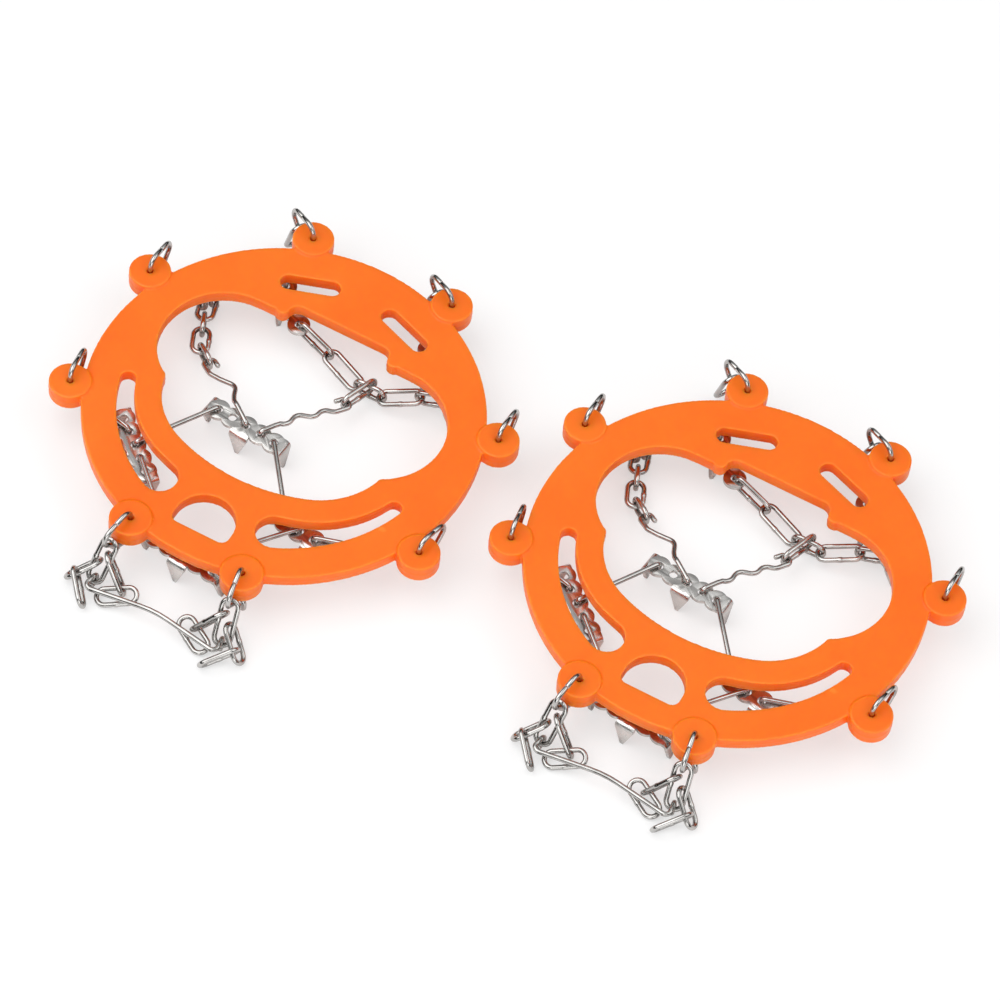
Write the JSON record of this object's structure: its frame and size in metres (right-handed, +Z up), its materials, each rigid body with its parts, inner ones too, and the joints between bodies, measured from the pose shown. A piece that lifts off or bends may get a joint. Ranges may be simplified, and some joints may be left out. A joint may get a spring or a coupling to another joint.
{
  "type": "shoe ice cleats",
  "caption": "Pair of shoe ice cleats: flat stretch harnesses whose eyelets carry wire rings, hooked wires, chain links and toothed plates in a slack net under a shoe's sole.",
  "frame": {"origin": "on the ground under the middle of the pair's outline; the teeth's tips are on the ground", "axes": "+X across the pair, from the left cleat to the right one; -Y towards the toes; +Z up, away from the ground"},
  "size_m": [0.3514, 0.2136, 0.0286],
  "materials": {
    "harness_orange": "satin moulded elastomer",
    "wire_steel": "polished stainless wire",
    "plate_steel": "tumbled stainless sheet"
  },
  "bodies": {
    "left_harness": {"left_harness": "harness_orange", "left_chain_links": "wire_steel"},
    "left_ring_toe_left": {"left_ring_toe_left": "wire_steel"},
    "left_ring_toe_right": {"left_ring_toe_right": "wire_steel"},
    "left_ring_fore_left": {"left_ring_fore_left": "wire_steel"},
    "left_ring_fore_right": {"left_ring_fore_right": "wire_steel"},
    "left_ring_arch_left": {"left_ring_arch_left": "wire_steel"},
    "left_ring_arch_right": {"left_ring_arch_right": "wire_steel"},
    "left_ring_heel_left": {"left_ring_heel_left": "wire_steel"},
    "left_ring_heel_right": {"left_ring_heel_right": "wire_steel"},
    "left_plate_toe": {"left_plate_toe": "plate_steel"},
    "left_plate_fore_left": {"left_plate_fore_left": "plate_steel"},
    "left_plate_fore_right": {"left_plate_fore_right": "plate_steel"},
    "left_plate_centre": {"left_plate_centre": "plate_steel"},
    "left_plate_heel_left": {"left_plate_heel_left": "plate_steel"},
    "left_plate_heel_right": {"left_plate_heel_right": "plate_steel"},
    "left_wire_toe_left": {"left_wire_toe_left": "wire_steel"},
    "left_wire_toe_right": {"left_wire_toe_right": "wire_steel"},
    "left_wire_fore_left": {"left_wire_fore_left": "wire_steel"},
    "left_wire_fore_right": {"left_wire_fore_right": "wire_steel"},
    "left_wire_mid_left": {"left_wire_mid_left": "wire_steel"},
    "left_wire_mid_right": {"left_wire_mid_right": "wire_steel"},
    "left_wire_side_left": {"left_wire_side_left": "wire_steel"},
    "left_wire_side_right": {"left_wire_side_right": "wire_steel"},
    "left_wire_arch_left": {"left_wire_arch_left": "wire_steel"},
    "left_wire_arch_right": {"left_wire_arch_right": "wire_steel"},
    "left_wire_heel_left": {"left_wire_heel_left": "wire_steel"},
    "left_wavy_left": {"left_wavy_left": "wire_steel"},
    "left_wavy_right": {"left_wavy_right": "wire_steel"},
    "left_toe_bar": {"left_toe_bar": "wire_steel"},
    "right_harness": {"right_harness": "harness_orange", "right_chain_links": "wire_steel"},
    "right_ring_toe_left": {"right_ring_toe_left": "wire_steel"},
    "right_ring_toe_right": {"right_ring_toe_right": "wire_steel"},
    "right_ring_fore_left": {"right_ring_fore_left": "wire_steel"},
    "right_ring_fore_right": {"right_ring_fore_right": "wire_steel"},
    "right_ring_arch_left": {"right_ring_arch_left": "wire_steel"},
    "right_ring_arch_right": {"right_ring_arch_right": "wire_steel"},
    "right_ring_heel_left": {"right_ring_heel_left": "wire_steel"},
    "right_ring_heel_right": {"right_ring_heel_right": "wire_steel"},
    "right_plate_toe": {"right_plate_toe": "plate_steel"},
    "right_plate_fore_left": {"right_plate_fore_left": "plate_steel"},
    "right_plate_fore_right": {"right_plate_fore_right": "plate_steel"},
    "right_plate_centre": {"right_plate_centre": "plate_steel"},
    "right_plate_heel_left": {"right_plate_heel_left": "plate_steel"},
    "right_plate_heel_right": {"right_plate_heel_right": "plate_steel"},
    "right_wire_toe_left": {"right_wire_toe_left": "wire_steel"},
    "right_wire_toe_right": {"right_wire_toe_right": "wire_steel"},
    "right_wire_fore_left": {"right_wire_fore_left": "wire_steel"},
    "right_wire_fore_right": {"right_wire_fore_right": "wire_steel"},
    "right_wire_mid_left": {"right_wire_mid_left": "wire_steel"},
    "right_wire_mid_right": {"right_wire_mid_right": "wire_steel"},
    "right_wire_side_left": {"right_wire_side_left": "wire_steel"},
    "right_wire_side_right": {"right_wire_side_right": "wire_steel"},
    "right_wire_arch_left": {"right_wire_arch_left": "wire_steel"},
    "right_wire_arch_right": {"right_wire_arch_right": "wire_steel"},
    "right_wire_heel_left": {"right_wire_heel_left": "wire_steel"},
    "right_wavy_left": {"right_wavy_left": "wire_steel"},
    "right_wavy_right": {"right_wavy_right": "wire_steel"},
    "right_toe_bar": {"right_toe_bar": "wire_steel"}
  },
  "joints": [
    {"name": "left_ring_toe_left_turn", "type": "hinge", "parent": "left_harness", "child": "left_ring_toe_left", "pos_m": [-0.11424, -0.07852, 0.0191], "axis": [0, 0, 1], "range_deg": [-2, 3]},
    {"name": "left_ring_toe_right_turn", "type": "hinge", "parent": "left_harness", "child": "left_ring_toe_right", "pos_m": [-0.06573, -0.07852, 0.0191], "axis": [0, 0, 1], "range_deg": [-3, 3]},
    {"name": "left_ring_fore_left_turn", "type": "hinge", "parent": "left_harness", "child": "left_ring_fore_left", "pos_m": [-0.16667, -0.03562, 0.0191], "axis": [0, 0, 1], "range_deg": [-4, 6]},
    {"name": "left_ring_fore_right_turn", "type": "hinge", "parent": "left_harness", "child": "left_ring_fore_right", "pos_m": [-0.01331, -0.03562, 0.0191], "axis": [0, 0, 1], "range_deg": [-6, 4]},
    {"name": "left_ring_arch_left_turn", "type": "hinge", "parent": "left_harness", "child": "left_ring_arch_left", "pos_m": [-0.16747, 0.02588, 0.0191], "axis": [0, 0, 1], "range_deg": [-7, 7]},
    {"name": "left_ring_arch_right_turn", "type": "hinge", "parent": "left_harness", "child": "left_ring_arch_right", "pos_m": [-0.0125, 0.02588, 0.0191], "axis": [0, 0, 1], "range_deg": [-7, 7]},
    {"name": "left_ring_heel_left_turn", "type": "hinge", "parent": "left_harness", "child": "left_ring_heel_left", "pos_m": [-0.12108, 0.0731, 0.0191], "axis": [0, 0, 1], "range_deg": [-5, 5]},
    {"name": "left_ring_heel_right_turn", "type": "hinge", "parent": "left_harness", "child": "left_ring_heel_right", "pos_m": [-0.0589, 0.0731, 0.0191], "axis": [0, 0, 1], "range_deg": [-5, 5]},
    {"name": "left_plate_toe_rock", "type": "hinge", "parent": "left_harness", "child": "left_plate_toe", "pos_m": [-0.09199, -0.07586, 0.011], "axis": [0.9945, -0.1045, 0], "range_deg": [-4, 4]},
    {"name": "left_plate_fore_left_rock", "type": "hinge", "parent": "left_harness", "child": "left_plate_fore_left", "pos_m": [-0.13399, -0.04186, 0.011], "axis": [0.7547, -0.6561, 0], "range_deg": [-4, 4]},
    {"name": "left_plate_fore_right_rock", "type": "hinge", "parent": "left_harness", "child": "left_plate_fore_right", "pos_m": [-0.05999, -0.04386, 0.011], "axis": [0.9903, -0.1392, 0], "range_deg": [-4, 4]},
    {"name": "left_plate_centre_rock", "type": "hinge", "parent": "left_harness", "child": "left_plate_centre", "pos_m": [-0.10199, -0.01186, 0.011], "axis": [0.9945, -0.1045, 0], "range_deg": [-4, 4]},
    {"name": "left_plate_heel_left_rock", "type": "hinge", "parent": "left_harness", "child": "left_plate_heel_left", "pos_m": [-0.11799, 0.05014, 0.011], "axis": [-0.7071, 0.7071, 0], "range_deg": [-4, 4]},
    {"name": "left_plate_heel_right_rock", "type": "hinge", "parent": "left_harness", "child": "left_plate_heel_right", "pos_m": [-0.04999, 0.04814, 0.011], "axis": [-0.7314, 0.682, 0], "range_deg": [-4, 4]},
    {"name": "left_wire_toe_left_sway", "type": "hinge", "parent": "left_harness", "child": "left_wire_toe_left", "pos_m": [-0.10993, -0.07848, 0.0108], "axis": [-0.7829, -0.6214, -0.0312], "range_deg": [-3, 3]},
    {"name": "left_wire_toe_right_sway", "type": "hinge", "parent": "left_harness", "child": "left_wire_toe_right", "pos_m": [-0.07205, -0.07984, 0.0108], "axis": [0.9364, -0.3498, -0.0267], "range_deg": [-6, 6]},
    {"name": "left_wire_fore_left_sway", "type": "hinge", "parent": "left_harness", "child": "left_wire_fore_left", "pos_m": [-0.11377, -0.06065, 0.011], "axis": [0.7255, -0.6882, 0], "range_deg": [-6, 6]},
    {"name": "left_wire_fore_right_sway", "type": "hinge", "parent": "left_harness", "child": "left_wire_fore_right", "pos_m": [-0.07276, -0.0602, 0.011], "axis": [-0.6157, -0.788, 0], "range_deg": [-6, 6]},
    {"name": "left_wire_mid_left_sway", "type": "hinge", "parent": "left_harness", "child": "left_wire_mid_left", "pos_m": [-0.12445, -0.02618, 0.011], "axis": [-0.5196, -0.8544, 0], "range_deg": [-6, 6]},
    {"name": "left_wire_mid_right_sway", "type": "hinge", "parent": "left_harness", "child": "left_wire_mid_right", "pos_m": [-0.07774, -0.02809, 0.011], "axis": [0.6057, -0.7957, 0], "range_deg": [-6, 6]},
    {"name": "left_wire_side_left_sway", "type": "hinge", "parent": "left_harness", "child": "left_wire_side_left", "pos_m": [-0.15309, -0.03463, 0.0108], "axis": [-0.9788, 0.2042, -0.0138], "range_deg": [-6, 6]},
    {"name": "left_wire_side_right_sway", "type": "hinge", "parent": "left_harness", "child": "left_wire_side_right", "pos_m": [-0.03308, -0.03822, 0.0108], "axis": [0.9525, 0.3043, -0.0093], "range_deg": [-6, 6]},
    {"name": "left_wire_arch_left_sway", "type": "hinge", "parent": "left_harness", "child": "left_wire_arch_left", "pos_m": [-0.15848, 0.03208, 0.0074], "axis": [-0.9182, -0.2241, 0.3267], "range_deg": [-6, 6]},
    {"name": "left_wire_arch_right_sway", "type": "hinge", "parent": "left_harness", "child": "left_wire_arch_right", "pos_m": [-0.02887, 0.0368, 0.0108], "axis": [0.9212, -0.389, -0.0113], "range_deg": [-6, 6]},
    {"name": "left_wire_heel_left_sway", "type": "hinge", "parent": "left_harness", "child": "left_wire_heel_left", "pos_m": [-0.13351, 0.04685, 0.0074], "axis": [0.7832, 0.5656, 0.2582], "range_deg": [-6, 6]},
    {"name": "left_wavy_left_sway", "type": "hinge", "parent": "left_harness", "child": "left_wavy_left", "pos_m": [-0.11599, -0.00136, 0.009], "axis": [-0.7948, 0.5961, -0.1135], "range_deg": [-5, 5]},
    {"name": "left_wavy_right_sway", "type": "hinge", "parent": "left_harness", "child": "left_wavy_right", "pos_m": [-0.08575, 0.0028, 0.01], "axis": [0.5363, 0.8422, -0.0549], "range_deg": [-5, 5]},
    {"name": "left_toe_bar_sway", "type": "hinge", "parent": "left_harness", "child": "left_toe_bar", "pos_m": [-0.08999, -0.09969, 0.0038], "axis": [1, 0, 0], "range_deg": [-8, 8]},
    {"name": "right_cleat_lift", "type": "slide", "parent": "left_harness", "child": "right_harness", "axis": [0, 0, 1], "range_m": [0, 0.06]},
    {"name": "right_ring_toe_left_turn", "type": "hinge", "parent": "right_harness", "child": "right_ring_toe_left", "pos_m": [0.06573, -0.05452, 0.0191], "axis": [0, 0, 1], "range_deg": [-2, 3]},
    {"name": "right_ring_toe_right_turn", "type": "hinge", "parent": "right_harness", "child": "right_ring_toe_right", "pos_m": [0.11424, -0.05452, 0.0191], "axis": [0, 0, 1], "range_deg": [-3, 3]},
    {"name": "right_ring_fore_left_turn", "type": "hinge", "parent": "right_harness", "child": "right_ring_fore_left", "pos_m": [0.01331, -0.01162, 0.0191], "axis": [0, 0, 1], "range_deg": [-4, 6]},
    {"name": "right_ring_fore_right_turn", "type": "hinge", "parent": "right_harness", "child": "right_ring_fore_right", "pos_m": [0.16667, -0.01162, 0.0191], "axis": [0, 0, 1], "range_deg": [-6, 4]},
    {"name": "right_ring_arch_left_turn", "type": "hinge", "parent": "right_harness", "child": "right_ring_arch_left", "pos_m": [0.0125, 0.04988, 0.0191], "axis": [0, 0, 1], "range_deg": [-7, 7]},
    {"name": "right_ring_arch_right_turn", "type": "hinge", "parent": "right_harness", "child": "right_ring_arch_right", "pos_m": [0.16747, 0.04988, 0.0191], "axis": [0, 0, 1], "range_deg": [-7, 7]},
    {"name": "right_ring_heel_left_turn", "type": "hinge", "parent": "right_harness", "child": "right_ring_heel_left", "pos_m": [0.0589, 0.0971, 0.0191], "axis": [0, 0, 1], "range_deg": [-5, 5]},
    {"name": "right_ring_heel_right_turn", "type": "hinge", "parent": "right_harness", "child": "right_ring_heel_right", "pos_m": [0.12108, 0.0971, 0.0191], "axis": [0, 0, 1], "range_deg": [-5, 5]},
    {"name": "right_plate_toe_rock", "type": "hinge", "parent": "right_harness", "child": "right_plate_toe", "pos_m": [0.08799, -0.05186, 0.011], "axis": [0.9945, -0.1045, 0], "range_deg": [-4, 4]},
    {"name": "right_plate_fore_left_rock", "type": "hinge", "parent": "right_harness", "child": "right_plate_fore_left", "pos_m": [0.04599, -0.01786, 0.011], "axis": [0.7547, -0.6561, 0], "range_deg": [-4, 4]},
    {"name": "right_plate_fore_right_rock", "type": "hinge", "parent": "right_harness", "child": "right_plate_fore_right", "pos_m": [0.11999, -0.01986, 0.011], "axis": [0.9903, -0.1392, 0], "range_deg": [-4, 4]},
    {"name": "right_plate_centre_rock", "type": "hinge", "parent": "right_harness", "child": "right_plate_centre", "pos_m": [0.07799, 0.01214, 0.011], "axis": [0.9945, -0.1045, 0], "range_deg": [-4, 4]},
    {"name": "right_plate_heel_left_rock", "type": "hinge", "parent": "right_harness", "child": "right_plate_heel_left", "pos_m": [0.06199, 0.07414, 0.011], "axis": [-0.7071, 0.7071, 0], "range_deg": [-4, 4]},
    {"name": "right_plate_heel_right_rock", "type": "hinge", "parent": "right_harness", "child": "right_plate_heel_right", "pos_m": [0.12999, 0.07214, 0.011], "axis": [-0.7314, 0.682, 0], "range_deg": [-4, 4]},
    {"name": "right_wire_toe_left_sway", "type": "hinge", "parent": "right_harness", "child": "right_wire_toe_left", "pos_m": [0.07005, -0.05448, 0.0108], "axis": [-0.7829, -0.6214, -0.0312], "range_deg": [-3, 3]},
    {"name": "right_wire_toe_right_sway", "type": "hinge", "parent": "right_harness", "child": "right_wire_toe_right", "pos_m": [0.10793, -0.05584, 0.0108], "axis": [0.9364, -0.3498, -0.0267], "range_deg": [-6, 6]},
    {"name": "right_wire_fore_left_sway", "type": "hinge", "parent": "right_harness", "child": "right_wire_fore_left", "pos_m": [0.06621, -0.03665, 0.011], "axis": [0.7255, -0.6882, 0], "range_deg": [-6, 6]},
    {"name": "right_wire_fore_right_sway", "type": "hinge", "parent": "right_harness", "child": "right_wire_fore_right", "pos_m": [0.10722, -0.0362, 0.011], "axis": [-0.6157, -0.788, 0], "range_deg": [-6, 6]},
    {"name": "right_wire_mid_left_sway", "type": "hinge", "parent": "right_harness", "child": "right_wire_mid_left", "pos_m": [0.05552, -0.00218, 0.011], "axis": [-0.5196, -0.8544, 0], "range_deg": [-6, 6]},
    {"name": "right_wire_mid_right_sway", "type": "hinge", "parent": "right_harness", "child": "right_wire_mid_right", "pos_m": [0.10223, -0.00409, 0.011], "axis": [0.6057, -0.7957, 0], "range_deg": [-6, 6]},
    {"name": "right_wire_side_left_sway", "type": "hinge", "parent": "right_harness", "child": "right_wire_side_left", "pos_m": [0.02688, -0.01063, 0.0108], "axis": [-0.9788, 0.2042, -0.0138], "range_deg": [-6, 6]},
    {"name": "right_wire_side_right_sway", "type": "hinge", "parent": "right_harness", "child": "right_wire_side_right", "pos_m": [0.14689, -0.01422, 0.0108], "axis": [0.9525, 0.3043, -0.0093], "range_deg": [-6, 6]},
    {"name": "right_wire_arch_left_sway", "type": "hinge", "parent": "right_harness", "child": "right_wire_arch_left", "pos_m": [0.02149, 0.05608, 0.0074], "axis": [-0.9182, -0.2241, 0.3267], "range_deg": [-6, 6]},
    {"name": "right_wire_arch_right_sway", "type": "hinge", "parent": "right_harness", "child": "right_wire_arch_right", "pos_m": [0.15111, 0.0608, 0.0108], "axis": [0.9212, -0.389, -0.0113], "range_deg": [-6, 6]},
    {"name": "right_wire_heel_left_sway", "type": "hinge", "parent": "right_harness", "child": "right_wire_heel_left", "pos_m": [0.04647, 0.07085, 0.0074], "axis": [0.7832, 0.5656, 0.2582], "range_deg": [-6, 6]},
    {"name": "right_wavy_left_sway", "type": "hinge", "parent": "right_harness", "child": "right_wavy_left", "pos_m": [0.06399, 0.02264, 0.009], "axis": [-0.7948, 0.5961, -0.1135], "range_deg": [-5, 5]},
    {"name": "right_wavy_right_sway", "type": "hinge", "parent": "right_harness", "child": "right_wavy_right", "pos_m": [0.09422, 0.0268, 0.01], "axis": [0.5363, 0.8422, -0.0549], "range_deg": [-5, 5]},
    {"name": "right_toe_bar_sway", "type": "hinge", "parent": "right_harness", "child": "right_toe_bar", "pos_m": [0.08999, -0.07569, 0.0038], "axis": [1, 0, 0], "range_deg": [-8, 8]}
  ]
}
